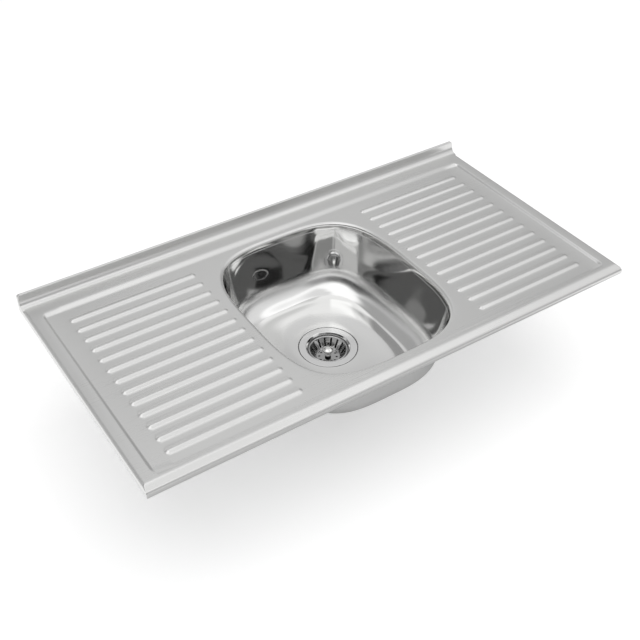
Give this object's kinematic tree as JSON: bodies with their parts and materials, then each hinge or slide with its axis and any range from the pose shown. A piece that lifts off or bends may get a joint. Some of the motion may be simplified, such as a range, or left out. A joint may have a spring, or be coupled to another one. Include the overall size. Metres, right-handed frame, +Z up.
{
  "type": "kitchen sink",
  "caption": "Lay-on stainless steel kitchen sink top with a central bowl between ribbed drainboards, a coved rear upstand and a lift-out basket strainer waste.",
  "frame": {"origin": "centre of the plane in which the folded hem stands on the cabinet, halfway along the length and the depth", "axes": "+X along the length to the right as seen from the front, +Y from the front edge to the upstand, +Z up"},
  "size_m": [1, 0.515, 0.3032],
  "materials": {
    "satin_steel": "satin stainless sheet, brushed along the length",
    "bowl_steel": "bright drawn stainless sheet",
    "polished_steel": "polished stainless steel",
    "galvanised_steel": "galvanised steel, faint spangle",
    "plated_zinc": "dull plated die casting",
    "damping_pad": "matt bitumen felt",
    "black_rubber": "matt moulded rubber",
    "grey_foam": "closed-cell foam",
    "fibre_card": "pressed fibre",
    "white_plastic": "moulded white plastic"
  },
  "bodies": {
    "sink": {"drainer_top": "satin_steel", "bowl": "bowl_steel", "strainer_body": "polished_steel", "outlet_spider": "polished_steel", "inner_channel_left": "galvanised_steel", "inner_channel_right": "galvanised_steel", "outer_channel_left": "galvanised_steel", "outer_channel_right": "galvanised_steel", "gusset_front_left": "galvanised_steel", "gusset_front_right": "galvanised_steel", "gusset_back_left": "galvanised_steel", "gusset_back_right": "galvanised_steel", "wall_pad_left": "damping_pad", "wall_pad_right": "damping_pad", "floor_pad_left": "damping_pad", "floor_pad_right": "damping_pad", "flange_seal": "grey_foam", "under_gasket": "black_rubber", "friction_ring": "fibre_card", "locknut": "plated_zinc", "tailpiece": "white_plastic", "tailpiece_washer": "white_plastic", "slip_nut": "white_plastic"},
    "strainer_basket": {"basket": "polished_steel", "stem_ring": "black_rubber"},
    "stopper": {"strainer_knob": "polished_steel", "stopper_stem": "polished_steel", "stopper_plate": "polished_steel", "stopper_seal": "black_rubber", "stem_nut": "polished_steel"}
  },
  "joints": [
    {"name": "basket_lift", "type": "slide", "parent": "sink", "child": "strainer_basket", "axis": [0, 0, 1], "range_m": [0, 0.08]},
    {"name": "stopper_pull", "type": "slide", "parent": "strainer_basket", "child": "stopper", "axis": [0, 0, 1], "range_m": [0, 0.01]}
  ]
}
